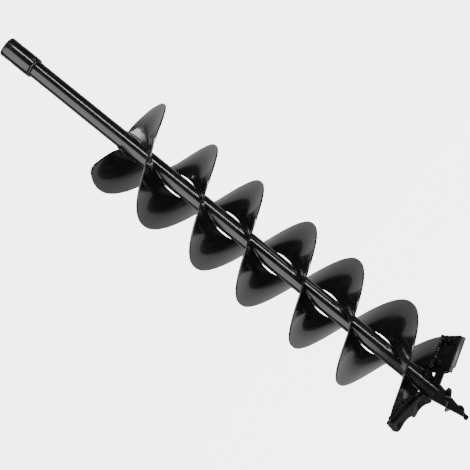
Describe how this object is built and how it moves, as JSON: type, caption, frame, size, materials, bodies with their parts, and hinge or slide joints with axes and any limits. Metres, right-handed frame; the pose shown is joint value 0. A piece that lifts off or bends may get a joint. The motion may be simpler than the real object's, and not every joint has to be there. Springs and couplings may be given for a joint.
{
  "type": "earth auger bit",
  "caption": "Double-start spiral earth auger bit with a drive socket, one straight and one toothed cutting blade, and a screw pilot point.",
  "frame": {"origin": "centre of the drive socket's mouth, on the bit's axis", "axes": "+Z along the bit's axis out of the socket's mouth, towards the drive head; +X along the socket's cross hole for the drive pin"},
  "size_m": [0.1621, 0.15, 0.818],
  "materials": {
    "gloss_black": "gloss",
    "blade_steel": "hardened plate, dark on its flats and ground bright along its cutting edge",
    "black_fastener": "satin black oxide"
  },
  "bodies": {
    "root": {"blade_holder_a": "gloss_black", "blade_holder_b": "gloss_black", "blade_nuts": "black_fastener", "blade_screws": "black_fastener", "blade_washers": "black_fastener", "drive_socket": "gloss_black", "flight_a_section_1": "gloss_black", "flight_a_section_2": "gloss_black", "flight_a_section_3": "gloss_black", "flight_a_weld": "gloss_black", "flight_b_section_1": "gloss_black", "flight_b_section_2": "gloss_black", "flight_b_section_3": "gloss_black", "flight_b_weld": "gloss_black", "holder_a_weld": "gloss_black", "holder_b_weld": "gloss_black", "pilot_bolt": "black_fastener", "pilot_nut": "black_fastener", "pilot_point": "gloss_black", "pilot_spiral": "gloss_black", "shaft_tube": "gloss_black", "socket_weld": "gloss_black", "straight_blade": "blade_steel", "toothed_blade": "blade_steel"}
  },
  "joints": []
}
